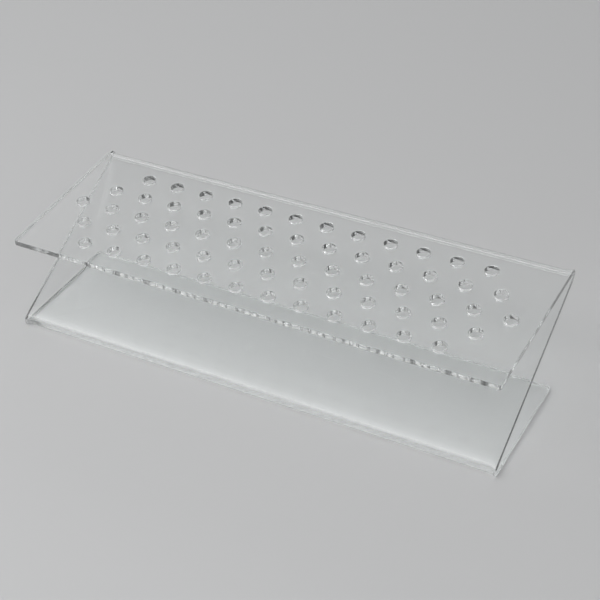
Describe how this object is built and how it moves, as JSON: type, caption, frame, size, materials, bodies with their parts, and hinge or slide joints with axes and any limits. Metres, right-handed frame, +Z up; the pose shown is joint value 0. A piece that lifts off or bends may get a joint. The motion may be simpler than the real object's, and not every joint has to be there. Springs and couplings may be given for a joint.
{
  "type": "perforated capsule stand",
  "caption": "One-piece Z-folded stand in clear acrylic: flat base, sloping web and a nearly level deck of round holes in staggered rows.",
  "frame": {"origin": "on the surface that the base rests on, under the middle of the object's box", "axes": "+X along the folds, +Y from the front edge to the back fold, +Z up"},
  "size_m": [0.288, 0.1022, 0.0616],
  "materials": {
    "clear_acrylic": "clear cast acrylic sheet with polished faces and laser-cut edges"
  },
  "bodies": {
    "root": {"base_plate": "clear_acrylic", "front_fold": "clear_acrylic", "sloping_web": "clear_acrylic", "back_fold": "clear_acrylic", "perforated_deck": "clear_acrylic"}
  },
  "joints": []
}
